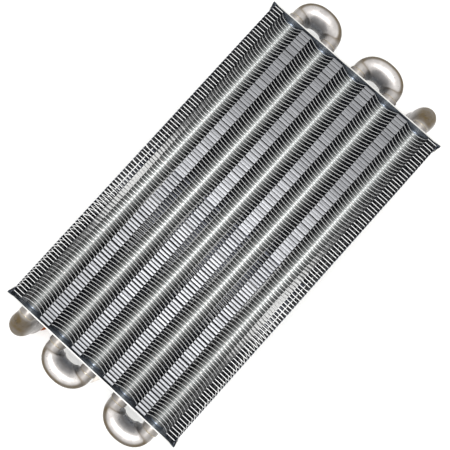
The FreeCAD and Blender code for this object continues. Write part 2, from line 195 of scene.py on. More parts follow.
def turnEdge(build, base, direction, away, radius, straight, turn=86, taper=0.0, mark=None):
    # rolls a run of edge vertices over by turn degrees: first along direction, then towards
    # away; mark is a face layer with the amount to write to it
    direction, away = Vector(direction), Vector(away)
    row = base
    made = []
    total = foldSteps + len(straightParts)
    centre = sum((vert.co for vert in base), Vector()) / len(base)
    for step in range(1, total + 1):
        angle = radians(turn) * min(step / foldSteps, 1)
        run = 0 if step <= foldSteps else straight * straightParts[step - foldSteps - 1]
        offset = direction * (radius * sin(angle) + run * cos(angle))
        offset += away * (radius * (1 - cos(angle)) + run * sin(angle))
        nextRow = []
        for vert in base:
            place = vert.co + offset
            if step == total and taper:
                place += (centre - vert.co).normalized() * taper
            nextRow.append(build.verts.new(place))
        for i in range(len(row) - 1):
            face = build.faces.new((row[i], row[i + 1], nextRow[i + 1], nextRow[i]))
            if mark:
                layer, amount = mark
                face[layer] = amount
            made.append(face)
        row = nextRow
    return made


def drawCollar(build, lookup, hole, middle, away, steps, mark=None):
    # a rim drawn out round a hole: steps are (shrink, along) pairs, mark is as in turnEdge
    row = [vertAt(lookup, y, z) for y, z in hole]
    for shrink, along in steps:
        ring = []
        for y, z in hole:
            flank = max(0, abs(z - middle[1]) - (core["tubeHeight"] - core["tubeWidth"]) / 2)
            side = Vector((0, y - middle[0], flank * (1 if z > middle[1] else -1)))
            side.normalize()
            ring.append(build.verts.new(Vector((0, y, z)) - side * shrink + Vector(away) * along))
        for i in range(len(ring)):
            j = (i + 1) % len(ring)
            face = build.faces.new((row[i], row[j], ring[j], ring[i]))
            if mark:
                layer, amount = mark
                face[layer] = amount
        row = ring


def thickSheet(name, build, thickness, material):
    # gives a one-sided sheet its thickness; the rim's second slot marks the cut edges
    outwards(build)
    piece = newPiece(name, build, material)
    piece.data.materials.append(material)
    solid = piece.modifiers.new("thickness", "SOLIDIFY")
    solid.thickness = thickness * mm
    solid.offset = 0
    solid.use_even_offset = True
    solid.thickness_clamp = 1
    solid.material_offset_rim = 1
    graph = bpy.context.evaluated_depsgraph_get()
    mesh = bpy.data.meshes.new_from_object(piece.evaluated_get(graph))
    cut = mesh.attributes.new("cutEdge", "FLOAT", "FACE")
    cut.data.foreach_set("value", [float(face.material_index) for face in mesh.polygons])
    mesh.polygons.foreach_set("material_index", [0] * len(mesh.polygons))
    piece.modifiers.clear()
    piece.data = mesh
    mesh.materials.clear()
    mesh.materials.append(material)
    mesh.set_sharp_from_angle(angle=radians(creaseAngle))
    return piece


# ---- materials

def toLinear(code):
    parts = [int(code[i:i + 2], 16) / 255 for i in (1, 3, 5)]
    return [c / 12.92 if c <= 0.04045 else ((c + 0.055) / 1.055) ** 2.4 for c in parts] + [1]


def addNode(tree, kind, feeds=None, **settings):
    node = tree.nodes.new(kind)
    for name, setting in settings.items():
        setattr(node, name, setting)
    for socket, feed in (feeds or {}).items():
        if isinstance(feed, bpy.types.NodeSocket):
            tree.links.new(feed, node.inputs[socket])
        else:
            node.inputs[socket].default_value = feed
    return node


def newMaterial(name):
    material = bpy.data.materials.new(name)
    material.use_nodes = True
    tree = material.node_tree
    tree.nodes.clear()
    place = addNode(tree, "ShaderNodeTexCoord").outputs["Object"]
    return material, tree, place


def blotches(tree, place, size, low, high, detail=4.0, stretch=(1, 1, 1)):
    # noise with features about size millimetres across, spread from 0 at low to 1 at high
    mapped = addNode(tree, "ShaderNodeMapping", {"Vector": place, "Scale": stretch})
    grain = addNode(tree, "ShaderNodeTexNoise",
                    {"Vector": mapped.outputs["Vector"], "Scale": 1 / (size * mm), "Detail": detail})
    spread = addNode(tree, "ShaderNodeMapRange",
                     {"Value": grain.outputs["Fac"], "From Min": low, "From Max": high})
    return spread.outputs["Result"]


def blend(tree, amount, first, second):
    node = addNode(tree, "ShaderNodeMix", {"Factor": amount}, data_type="RGBA")
    for index, feed in ((6, first), (7, second)):
        if isinstance(feed, str):
            node.inputs[index].default_value = toLinear(feed)
        else:
            tree.links.new(feed, node.inputs[index])
    return node.outputs[2]


def mathNode(tree, operation, first, second):
    return addNode(tree, "ShaderNodeMath", {0: first, 1: second}, operation=operation,
                   use_clamp=True).outputs[0]


def spanNode(tree, value, low, high):
    node = addNode(tree, "ShaderNodeMapRange", {"Value": value, "To Min": low, "To Max": high})
    return node.outputs["Result"]


def bumpNode(tree, height, depth, strength):
    return addNode(tree, "ShaderNodeBump", {"Height": height, "Distance": depth * mm,
                                            "Strength": strength}).outputs["Normal"]


def surface(material, tree, colour, roughness, normal, metallic):
    feeds = {"Base Color": colour, "Roughness": roughness, "Normal": normal, "Metallic": metallic}
    shader = addNode(tree, "ShaderNodeBsdfPrincipled", feeds)
    addNode(tree, "ShaderNodeOutputMaterial", {"Surface": shader.outputs["BSDF"]})
    return material


def attribute(tree, name):
    return addNode(tree, "ShaderNodeAttribute", attribute_name=name).outputs["Fac"]


def makeCoatedFin():
    # rolled copper sheet with a fired silvery coating: the faces carry a dark slate tone as painted shade
    # for the deep gaps between fins, and the cut edges are painted pale as a painted highlight
    material, tree, place = newMaterial("silverCoatedSheet")
    tab = attribute(tree, "foldedTab")  # 1 on crest tabs, 2 on collars, -1 on folds whose cut edges get no painted highlight
    edge = mathNode(tree, "MULTIPLY", attribute(tree, "cutEdge"), mathNode(tree, "ADD", tab, 1.0))
    faceMottle = blotches(tree, place, 9, 0.35, 0.7)
    grain = blotches(tree, place, 0.6, 0.3, 0.75, 2.0)  # coating grain, drawn coarser than real
    # dark slate on the faces: painted shade for the deep gaps between fins, its tone varied at random
    face = blend(tree, faceMottle, "#50535d", "#3d4048")
    # pale cut edges: a painted highlight
    bright = blend(tree, grain, "#dededc", "#c6c7c8")
    number = attribute(tree, "rowNumber")
    chance = addNode(tree, "ShaderNodeTexWhiteNoise", {"W": number}, noise_dimensions="1D")
    tabTone = blend(tree, chance.outputs["Value"], "#828386", "#6e6f72")
    colour = blend(tree, tab, face, tabTone)
    colour = blend(tree, mathNode(tree, "SUBTRACT", tab, 1.0), colour, "#888b8a")
    # the cut edges get the pale painted highlight
    colour = blend(tree, edge, colour, bright)
    rough = spanNode(tree, grain, 0.32, 0.42)
    metal = spanNode(tree, edge, 0.5, 0.12)
    return surface(material, tree, colour, rough, bumpNode(tree, grain, 0.03, 0.4), metal)


def makeCoatedPlate():
    # pressed plate with the same coating, blued by the furnace; its cut rim is painted pale as a painted
    # highlight
    material, tree, place = newMaterial("bluedPlateCoating")
    edge = attribute(tree, "cutEdge")
    cloud = blotches(tree, place, 14, 0.35, 0.7)
    streak = blotches(tree, place, 3, 0.3, 0.75, 3.0, (1, 0.25, 1))
    face = blend(tree, cloud, "#8a94a0", "#69727f")
    face = blend(tree, mathNode(tree, "MULTIPLY", streak, 0.4), face, "#a3abb6")
    # pale cut rim: a painted highlight
    colour = blend(tree, edge, face, "#bfbebb")
    rough = spanNode(tree, streak, 0.26, 0.42)
    return surface(material, tree, colour, rough, bumpNode(tree, streak, 0.05, 0.35), 0.6)


def makeTinnedCopper():
    # copper tube dipped in tin and solder: soft silver, with gold-brown flux burnt on in patches
    material, tree, place = newMaterial("tinnedCopper")
    stain = attribute(tree, "fluxStain")
    cloud = blotches(tree, place, 6, 0.35, 0.68)
    speck = blotches(tree, place, 1.4, 0.62, 0.74, 2.0)
    drag = blotches(tree, place, 2.2, 0.3, 0.75, 3.0, (1, 1, 0.3))
    silver = blend(tree, cloud, "#bfbbb8", "#a4a09e")
    silver = blend(tree, mathNode(tree, "MULTIPLY", drag, 0.35), silver, "#8f8a89")
    burnt = blend(tree, cloud, "#655538", "#4f422f")
    burnt = blend(tree, speck, burnt, "#352b20")
    amount = mathNode(tree, "MULTIPLY", stain, spanNode(tree, cloud, 1.0, 0.72))
    colour = blend(tree, amount, silver, burnt)
    rough = blend(tree, amount, spanNode(tree, drag, 0.26, 0.4), "#c8c8c8")
    return surface(material, tree, colour, rough, bumpNode(tree, drag, 0.08, 0.35), 0.56)


def makeBareCopper():
    # drawn copper tube, heat-tinted orange to brown near the joint, with draw lines along it
    material, tree, place = newMaterial("drawnCopper")
    cloud = blotches(tree, place, 8, 0.35, 0.7)
    lines = blotches(tree, place, 0.8, 0.3, 0.75, 2.0, (1, 1, 0.06))
    colour = blend(tree, cloud, "#b0623a", "#7d3a16")
    colour = blend(tree, mathNode(tree, "MULTIPLY", lines, 0.3), colour, "#d08a58")
    rough = spanNode(tree, lines, 0.24, 0.38)
    return surface(material, tree, colour, rough, bumpNode(tree, lines, 0.03, 0.4), 1.0)


def makeBraze():
    # brazing alloy run round the bells: pale, slightly yellow, frozen in soft lumps
    material, tree, place = newMaterial("brazeAlloy")
    lump = blotches(tree, place, 1.6, 0.3, 0.7, 2.0)
    colour = blend(tree, lump, "#cfc4ad", "#8d8068")
    rough = spanNode(tree, lump, 0.24, 0.42)
    return surface(material, tree, colour, rough, bumpNode(tree, lump, 0.25, 0.5), 1.0)


def makeStainless():
    # cold-rolled stainless strip: fine grain along the rolling direction
    material, tree, place = newMaterial("rolledStainless")
    grain = blotches(tree, place, 0.5, 0.3, 0.75, 2.0, (0.1, 1, 1))
    colour = blend(tree, grain, "#b9bab9", "#9fa1a1")
    rough = spanNode(tree, grain, 0.25, 0.36)
    return surface(material, tree, colour, rough, bumpNode(tree, grain, 0.02, 0.3), 1.0)


def makeTagSteel():
    # sheared scrap of coated sheet, warm grey with a satin face
    material, tree, place = newMaterial("satinTagSheet")
    cloud = blotches(tree, place, 3, 0.3, 0.7)
    colour = blend(tree, cloud, "#bdb7b0", "#a09a94")
    rough = spanNode(tree, cloud, 0.32, 0.48)
    return surface(material, tree, colour, rough, bumpNode(tree, cloud, 0.04, 0.3), 0.7)


def makeFloor():
    # seamless matt white studio board
    material, tree, place = newMaterial("studioBoard")
    tooth = blotches(tree, place, 2, 0.3, 0.7, 2.0)
    colour = blend(tree, tooth, "#f7f7f6", "#f4f4f3")
    return surface(material, tree, colour, 0.85, bumpNode(tree, tooth, 0.02, 0.1), 0.0)


coatedFin = makeCoatedFin()
coatedPlate = makeCoatedPlate()
tinnedCopper = makeTinnedCopper()
bareCopper = makeBareCopper()
brazeAlloy = makeBraze()
rolledStainless = makeStainless()
tagSheet = makeTagSteel()
print("materials made")


# ---- rows of equal pieces, made by Geometry Nodes

phaseStep = 5.17  # how far apart two neighbours' wavers lie in the noise


def makeRowTree():
    # a row of copies a step apart, in which a second blank follows the one wider gap, with
    # small seeded unevenness
    tree = bpy.data.node_groups.new("pieceRow", "GeometryNodeTree")
    face = tree.interface
    face.new_socket("Geometry", in_out="INPUT", socket_type="NodeSocketGeometry")
    for name, kind in (("Blank", "Object"), ("Far Blank", "Object"), ("Count", "Int"), ("First", "Int"),
                       ("Start", "Vector"), ("Step", "Vector"), ("Wide Gap After", "Int"),
                       ("Wide Gap", "Vector"), ("Tilt", "Vector"), ("Waver", "Float"),
                       ("Waver Size", "Float"), ("Finish", "Material"), ("Seed", "Int")):
        face.new_socket(name, in_out="INPUT", socket_type="NodeSocket" + kind)
    face.new_socket("Geometry", in_out="OUTPUT", socket_type="NodeSocketGeometry")
    given = addNode(tree, "NodeGroupInput").outputs
    row = addNode(tree, "GeometryNodeMeshLine", {"Count": given["Count"], "Offset": (0, 0, 0)})
    index = addNode(tree, "GeometryNodeInputIndex").outputs["Index"]
    number = addNode(tree, "ShaderNodeMath", {0: index, 1: given["First"]}, operation="ADD").outputs[0]
    along = addNode(tree, "ShaderNodeVectorMath", {0: given["Step"], "Scale": number}, operation="SCALE")
    past = addNode(tree, "ShaderNodeMath", {0: number, 1: given["Wide Gap After"]}, operation="GREATER_THAN")
    shift = addNode(tree, "ShaderNodeVectorMath",
                    {0: given["Wide Gap"], "Scale": past.outputs[0]}, operation="SCALE")
    place = addNode(tree, "ShaderNodeVectorMath",
                    {0: along.outputs[0], 1: shift.outputs[0]}, operation="ADD")
    place = addNode(tree, "ShaderNodeVectorMath", {0: place.outputs[0], 1: given["Start"]}, operation="ADD")
    put = addNode(tree, "GeometryNodeSetPosition",
                  {"Geometry": row.outputs["Mesh"], "Position": place.outputs[0]})
    negative = addNode(tree, "ShaderNodeVectorMath", {0: given["Tilt"], "Scale": -1.0}, operation="SCALE")
    chance = addNode(tree, "FunctionNodeRandomValue",
                     {0: negative.outputs[0], 1: given["Tilt"], "ID": number, "Seed": given["Seed"]},
                     data_type="FLOAT_VECTOR")
    near = addNode(tree, "ShaderNodeMath", {0: 1.0, 1: past.outputs[0]}, operation="SUBTRACT")
    both = addNode(tree, "GeometryNodeJoinGeometry")
    for source, chosen in (("Far Blank", past), ("Blank", near)):  # a join keeps the last link first
        blank = addNode(tree, "GeometryNodeObjectInfo", {"Object": given[source]})
        copies = addNode(tree, "GeometryNodeInstanceOnPoints",
                         {"Points": put.outputs["Geometry"], "Instance": blank.outputs["Geometry"],
                          "Selection": chosen.outputs[0], "Rotation": chance.outputs[0]})
        tree.links.new(copies.outputs["Instances"], both.inputs[0])
    named = addNode(tree, "GeometryNodeStoreNamedAttribute",
                    {"Geometry": both.outputs[0], "Name": "rowNumber", "Value": number},
                    data_type="FLOAT", domain="INSTANCE")
    real = addNode(tree, "GeometryNodeRealizeInstances", {"Geometry": named.outputs["Geometry"]})
    # each copy wavers on its own: four-dimensional noise, with the copy's number as the fourth
    which = addNode(tree, "GeometryNodeInputNamedAttribute", {"Name": "rowNumber"}, data_type="FLOAT")
    phase = addNode(tree, "ShaderNodeMath", {0: which.outputs[0], 1: phaseStep}, operation="MULTIPLY")
    inverse = addNode(tree, "ShaderNodeMath", {0: 1.0, 1: given["Waver Size"]}, operation="DIVIDE")
    here = addNode(tree, "GeometryNodeInputPosition").outputs[0]
    still = addNode(tree, "ShaderNodeVectorMath", {0: here, 1: (0.0, 1.0, 1.0)}, operation="MULTIPLY")
    ripple = addNode(tree, "ShaderNodeTexNoise",
                     {"Vector": still.outputs[0], "W": phase.outputs[0], "Scale": inverse.outputs[0],
                      "Detail": 1.0}, noise_dimensions="4D")
    centred = addNode(tree, "ShaderNodeMath", {0: ripple.outputs["Fac"], 1: 0.5}, operation="SUBTRACT")
    amount = addNode(tree, "ShaderNodeMath",
                     {0: centred.outputs[0], 1: given["Waver"]}, operation="MULTIPLY")
    push = addNode(tree, "ShaderNodeCombineXYZ", {"X": amount.outputs[0]})
    moved = addNode(tree, "GeometryNodeSetPosition",
                    {"Geometry": real.outputs["Geometry"], "Offset": push.outputs[0]})
    finish = addNode(tree, "GeometryNodeSetMaterial",
                     {"Geometry": moved.outputs["Geometry"], "Material": given["Finish"]})
    addNode(tree, "NodeGroupOutput", {"Geometry": finish.outputs["Geometry"]})
    return tree


rowTree = makeRowTree()
rowSockets = {item.name: item.identifier for item in rowTree.interface.items_tree if item.in_out == "INPUT"}


def makeRow(name, smoothAngle=creaseAngle, **inputs):
    host = bpy.data.objects.new(name, bpy.data.meshes.new(name))
    scene.collection.objects.link(host)
    modifier = host.modifiers.new("row", "NODES")
    modifier.node_group = rowTree
    for label, setting in inputs.items():
        modifier[rowSockets[label.replace("_", " ")]] = setting
    graph = bpy.context.evaluated_depsgraph_get()
    mesh = bpy.data.meshes.new_from_object(host.evaluated_get(graph))
    host.modifiers.clear()
    host.data = mesh
    mesh.set_sharp_from_angle(angle=radians(smoothAngle))
    return host


# ---- fins

fin = {
    "thickness": 0.42,
    "valley": 38.2,  # lowest point of the wave, just over each tube
    "valleyFlat": 1.6,  # half width of the level part over the tube
    "stripWidth": 8,  # level strip along each side
    "stripDrop": 3.0,  # step down from the strip to the wave
    "stripStep": 0.15,  # how far that step leans out
    "crestTab": 8,
    "crestTurn": 93,
    "tabTaper": 0.3,
    "nearReach": 1.7,  # the crest tabs of the stack at -X leave a slit
    "farReach": 2.2,  # and those of the stack at +X nearly close it
    "notchReach": 2.2,
    "bend": 0.5,
    "shoulder": 20,
    "lobe": 6.8,
    "lobeSteps": 10,
    "notchTab": 14,
    "footTab": 3.4,
    "corner": 0.15,
    "topCorner": 0.6,
    "hookReach": 2.25,
    "footReach": 2.25,
    "hookTop": 48.7,
    "holeGap": 0.75,  # from the tube to the flat sheet, where the collar starts
    "holeSteps": 8,
    "collar": 2.05,
    "collarSlack": 0.08,  # left between the collar and the tube
    "waveSteps": 10,
    "innerBowl": 0.6,
    "outerBowl": 0.85,
}
# the edges that the side, crest and lower folds turn about
sideLine = core["halfWidth"] - fin["bend"] - fin["thickness"] / 2
crestLine = core["crest"] - fin["bend"] - fin["thickness"] / 2
floorLine = fin["shoulder"] + fin["bend"] + fin["thickness"] / 2


def waveSide(reach, top, bowl):
    # from the middle of a valley up to its edge, as (across, up): bowl is the share of a round
    # bowl in the curve, and the rest is a soft wave
    flat, floor = fin["valleyFlat"], fin["valley"]
    run = [(0, floor)]
    for k in range(fin["waveSteps"] + 1):
        part = sin(pi / 2 * k / fin["waveSteps"])
        rise = bowl * (1 - (1 - part * part) ** 0.5) + (1 - bowl) * (1 - cos(pi * part)) / 2
        run.append((flat + (reach - flat) * part, floor + (top - floor) * rise))
    return run


def finOutline():
    # the top edge from +Y to -Y, then the tongues and notches back
    half, top, corner = sideLine, core["crest"], fin["topCorner"]
    outer = core["halfWidth"] - fin["stripWidth"]
    stripEnd = outer + fin["stripStep"]
    points = [(half, fin["hookTop"]), (half, top - corner), (half - corner, top), (stripEnd, top)]
    for i, row in enumerate(tubeRows):
        rightEdge = outer if i == 0 else row + rowPitch / 2 - fin["crestTab"] / 2
        leftEdge = -outer if i == len(tubeRows) - 1 else row - rowPitch / 2 + fin["crestTab"] / 2
        for edge, falling in ((rightEdge, True), (leftEdge, False)):
            isOuter = abs(edge) == outer
            peak = top - fin["stripDrop"] if isOuter else crestLine
            bowl = fin["outerBowl"] if isOuter else fin["innerBowl"]
            run = [(row + across * (1 if falling else -1), up)
                   for across, up in waveSide(abs(edge - row), peak, bowl)]
            points += run[::-1] if falling else run[1:]
    points += [(-stripEnd, top), (-half + corner, top), (-half, top - corner), (-half, fin["hookTop"])]
    points += [(-half, floorLine + fin["corner"]), (-half + fin["corner"], floorLine)]
    arcMiddle = core["lobeFloor"] + fin["lobe"]
    for row in reversed(tubeRows):
        if row != tubeRows[-1]:
            gap = row - rowPitch / 2
            points += [(gap - fin["notchTab"] / 2, floorLine), (gap + fin["notchTab"] / 2, floorLine)]
        else:
            points.append((-half + fin["footTab"], floorLine))
        points.append((row - fin["lobe"], floorLine))
        arc = [pi * k / fin["lobeSteps"] for k in range(fin["lobeSteps"] + 1)]
        points += [(row - fin["lobe"] * cos(angle), arcMiddle - fin["lobe"] * sin(angle)) for angle in arc]
        points.append((row + fin["lobe"], floorLine))
    points += [(half - fin["footTab"], floorLine), (half - fin["corner"], floorLine),
               (half, floorLine + fin["corner"])]
    return points


def finHole(row):
    gap = 2 * fin["holeGap"]
    shape = ovalPoints(core["tubeWidth"] + gap, core["tubeHeight"] + gap, fin["holeSteps"])
    return [(row + across, tubeAxis + up) for across, up in shape]


def makeFinBlank(tabReach):
    build = bmesh.new()
    layer = build.faces.layers.float.new("foldedTab")
    # dull marks the hooks, feet and notch tabs, whose cut edges get no painted highlight
    bright, dull, collar = (layer, 1.0), (layer, -1.0), (layer, 2.0)
    holes = [finHole(row) for row in tubeRows]
    spot = flatSheet(build, finOutline(), holes)
    back = (-1, 0, 0)
    for row in tubeRows[:-1]:
        gap = row - rowPitch / 2
        ends = [vertAt(spot, gap + side * fin["crestTab"] / 2, crestLine) for side in (-1, 1)]
        turnEdge(build, ends, (0, 0, 1), back, fin["bend"], tabReach - fin["bend"],
                 turn=fin["crestTurn"], taper=fin["tabTaper"], mark=bright)
        ends = [vertAt(spot, gap + side * fin["notchTab"] / 2, floorLine) for side in (-1, 1)]
        turnEdge(build, ends, (0, 0, -1), back, fin["bend"], fin["notchReach"] - fin["bend"], mark=dull)
    for side in (-1, 1):
        ends = [vertAt(spot, side * sideLine, up) for up in (fin["hookTop"], floorLine + fin["corner"])]
        turnEdge(build, ends, (0, side, 0), back, fin["bend"], fin["hookReach"] - fin["bend"], mark=dull)
        ends = [vertAt(spot, side * (sideLine - inset), floorLine)
                for inset in (fin["footTab"], fin["corner"])]
        turnEdge(build, ends, (0, 0, -1), back, fin["bend"], fin["footReach"] - fin["bend"], mark=dull)
    shrink = fin["holeGap"] - fin["thickness"] / 2 - fin["collarSlack"]
    for row, hole in zip(tubeRows, holes):
        drawCollar(build, spot, hole, (row, tubeAxis), back,
                   [(shrink * 0.65, 0.12), (shrink, 0.45), (shrink, fin["collar"])], collar)
    return thickSheet("finBlank", build, fin["thickness"], coatedFin)


nearFin = makeFinBlank(fin["nearReach"])
farFin = makeFinBlank(fin["farReach"])
print("fin blank:", len(nearFin.data.polygons), "faces")

packs = {
    "counts": (20, 20, 20, 20, 21),
    "cadTab": 1.8,  # reach of the CAD fins' tabs, behind the sheet
    "cadSheet": 0.4,
    "middleGap": 0.45,  # one gap at mid length is a little wider
    "tilt": (0.0, radians(0.25), radians(0.1)),
    "waver": 0.35,
    "waverSize": 26,
    "seed": 11,
}


def makeFinPacks():
    total = sum(packs["counts"])
    firstX = finsLow.x + packs["cadTab"]  # the rear face of the first sheet
    lastX = lastFinEnd - packs["cadSheet"]  # and of the last
    step = (lastX - firstX) / (total - 1)
    first = 0
    for number, count in enumerate(packs["counts"], start=1):
        pack = makeRow(f"finPack{number}", Blank=nearFin, Far_Blank=farFin, Count=count, First=first,
                       Start=((firstX + packs["cadSheet"] / 2) * mm, 0, 0), Step=(step * mm, 0, 0),
                       Wide_Gap_After=total // 2, Wide_Gap=(packs["middleGap"] * mm, 0, 0),
                       Tilt=packs["tilt"], Waver=packs["waver"] * mm, Waver_Size=packs["waverSize"] * mm,
                       Finish=coatedFin, Seed=packs["seed"])
        declare(pack, "coated_fin", f"fin_pack_{number}")
        first += count


makeFinPacks()
for blank in (nearFin, farFin):
    bpy.data.objects.remove(blank)
print("fins stacked")


# ---- end plates

plate = {
    "thickness": 0.8,
    "bend": 1.0,
    "flange": 4.0,
    "foot": 5.0,
    "flare": 0.9,  # how far the top corners are splayed
    "flareFade": 2.5,
    "flareOut": 0.6,  # share of the flare that goes sideways, and that goes off the face
    "flareAway": 0.4,
    "relief": 0.7,  # how much of the flange is cut away at its top
    "reliefDepth": 5,
    "holeGap": 0.7,
    "holeSlack": 0.04,
    "rim": 0.9,
    "sideSteps": 12,
    "topSteps": 40,
    "footSteps": 10,
    "holeSteps": 10,
}


def makeEndPlate(name, side, node):
    build = bmesh.new()
    face = core["plateFace"] - plate["thickness"] / 2
    half = plateHigh.y - plate["bend"] - plate["thickness"] / 2
    top = plateHigh.z
    low = plateLow.z + plate["bend"] + plate["thickness"] / 2
    flangeLow = fin["shoulder"]
    sides, tops, feet = plate["sideSteps"], plate["topSteps"], plate["footSteps"]
    flangeRun = [flangeLow + (top - flangeLow) * k / sides for k in range(sides + 1)]
    footRun = [-half + 2 * half * k / feet for k in range(feet + 1)]
    outline = [(half, low)] + [(half, up) for up in flangeRun]
    outline += [(half - 2 * half * k / tops, top) for k in range(1, tops)]
    outline += [(-half, up) for up in reversed(flangeRun)]
    outline += [(across, low) for across in footRun[:-1]]
    holes = []
    for row in tubeRows:
        gap = 2 * plate["holeGap"]
        shape = ovalPoints(core["tubeWidth"] + gap, core["tubeHeight"] + gap, plate["holeSteps"])
        holes.append([(row + across, tubeAxis + up) for across, up in shape])
    spot = flatSheet(build, outline, holes)
    inward = (-1, 0, 0)
    for edge in (-1, 1):
        base = [vertAt(spot, edge * half, up) for up in flangeRun]
        made = turnEdge(build, base, (0, edge, 0), inward, plate["bend"],
                        plate["flange"] - plate["bend"], turn=90)
        for vert in {vert for item in made for vert in item.verts}:
            depth = top - vert.co.z
            vert.co.x *= 1 - plate["relief"] * max(0.0, 1 - depth / plate["reliefDepth"])
            fade = plate["flare"] * exp(-depth / plate["flareFade"])
            vert.co.y += edge * fade * plate["flareOut"]
            vert.co.x += fade * plate["flareAway"]
    base = [vertAt(spot, across, low) for across in footRun]
    turnEdge(build, base, (0, 0, -1), (1, 0, 0), plate["bend"], plate["foot"] - plate["bend"] + 0.1, turn=90)
    shrink = plate["holeGap"] - plate["thickness"] / 2 - plate["holeSlack"]
    for row, hole in zip(tubeRows, holes):
        drawCollar(build, spot, hole, (row, tubeAxis), inward, [(shrink * 0.6, 0.3), (shrink, plate["rim"])])
    for vert in build.verts:
        vert.co.x = side * (vert.co.x + face)
        if side < 0:
            vert.co.y = -vert.co.y
    piece = thickSheet(name, build, plate["thickness"], coatedPlate)
    return declare(piece, "coated_plate", node)


makeEndPlate("endPlateLeft", -1, "end_plate_left")
makeEndPlate("endPlateRight", 1, "end_plate_right")
print("end plates folded")


# ---- tubes, bends, elbows and pipes

tube = {"sides": 12, "bell": 0.9, "rings": 24}
# flux burnt on: each strength is a share of a full stain, and above 1 the stain is full sooner
flux = {
    "bell": 0.35,
    "rimStart": 0.38,  # share of the half width where the outer rim's stain starts
    "rimFade": 0.12,  # also a share
    "rimInLegs": 0.35,
    "mitre": 0.8,
    "mitrePlace": 1.2,  # past the leg
    "mitreFade": 1.6,
    "ridge": 0.15,
    "ridgeFade": 3.0,
    "socket": 0.15,
    "elbow": 1.5,
    "elbowFade": 4.6,
}


def makeTube(number):
    build = bmesh.new()
    row = tubeRows[number - 1]
    end = core["plateFace"] + bellLength
    start = core["plateFace"]
    wall = 2 * core["tubeWall"]
    # (x, growth of the section) pairs: a bell at each end, the body between them, then the bore
    outer = [(-end, 2 * tube["bell"]), (-start - 0.9, 2 * tube["bell"]),
             (-start - 0.3, 1.5 * tube["bell"]), (-start + 0.1, 0)]
    outer += [(-start + 2 * start * k / tube["rings"], 0) for k in range(1, tube["rings"])]
    outer += [(-x, grow) for x, grow in reversed(outer[:4])]
    inner = [(end, 0), (start + 0.9, 0), (start + 0.3, -wall)]
    inner += [(-x, grow) for x, grow in reversed(inner)]
    rings = []
    for x, grow in outer + inner:
        section = ovalPoints(core["tubeWidth"] + grow, core["tubeHeight"] + grow, tube["sides"])
        rings.append([Vector((x, row, tubeAxis)) + Vector((0, across, up)) for across, up in section])
    stain = build.verts.layers.float.new("fluxStain")
    smear = [[flux["bell"] if abs(point.x) > start else 0.0 for point in ring] for ring in rings]
    skinRings(build, rings, stain, smear)
    outwards(build)
    return declare(newPiece(f"tube{number}", build, tinnedCopper), "tinned_tube", f"tube_{number}")


for number in range(1, 6):
    makeTube(number)

bend = {
    "start": 0.9,  # from the end plate's outer face
    "leg": 10.6,  # where the turn starts
    "reach": 10.4,
    "fullness": 2.15,  # over 2 fills out the corners of the U
    "steps": 28,
    "sides": 14,
    "wall": 0.9,
    "crease": 0.35,
    "widen": 0.3,
    "push": 1.2,
    "pushBelow": 0.3,  # share of the push in the lower half
    "swell": 3.6,  # the inside of the turn bulges towards the plate
    "crown": 2.9,
    "blendStart": 0.6,  # past the leg, where the section starts to change, and over what run
    "blendRun": 1.6,
    "wrinkle": 0.25,
    "wrinklePhase": 2.2,  # radians from one ring to the next
    "wrinkleMiddle": 3,  # height of the strongest wrinkles, and how far they fade up and down
    "wrinkleFade": 10,
}


def bendSection(width, height, turned):
    # flat oval in the legs; in the turn a rounder shape whose crown is pushed to the outside
    shape = []
    for i, (a, b) in enumerate(ovalPoints(width, height, bend["sides"])):
        below = i > bend["sides"]
        step = i % (bend["sides"] + 1)
        angle = pi * step / bend["sides"] + (pi if below else 0)
        push = bend["push"] * (bend["pushBelow"] if below else 1)
        reach = width / 2 - push if cos(angle) > 0 else width / 2 + push + bend["swell"]
        fullA = push + reach * power(cos(angle), 2 / bend["crown"])
        fullB = height / 2 * power(sin(angle), 2 / bend["crown"])
        shape.append((a * (1 - turned) + fullA * turned, b * (1 - turned) + fullB * turned))
    return shape


def bendPath():
    # the middle line of the U, from one leg's end to the other's
    half = rowPitch / 2
    places = [(bend["start"], half), (5.0, half), (8.0, half), (bend["leg"], half)]
    for k in range(1, bend["steps"]):
        angle = pi * k / bend["steps"]
        places.append((bend["leg"] + bend["reach"] * power(sin(angle), 2 / bend["fullness"]),
                       half * power(cos(angle), 2 / bend["fullness"])))
    places += [(x, -half) for x, _ in reversed(places[:4])]
    return places


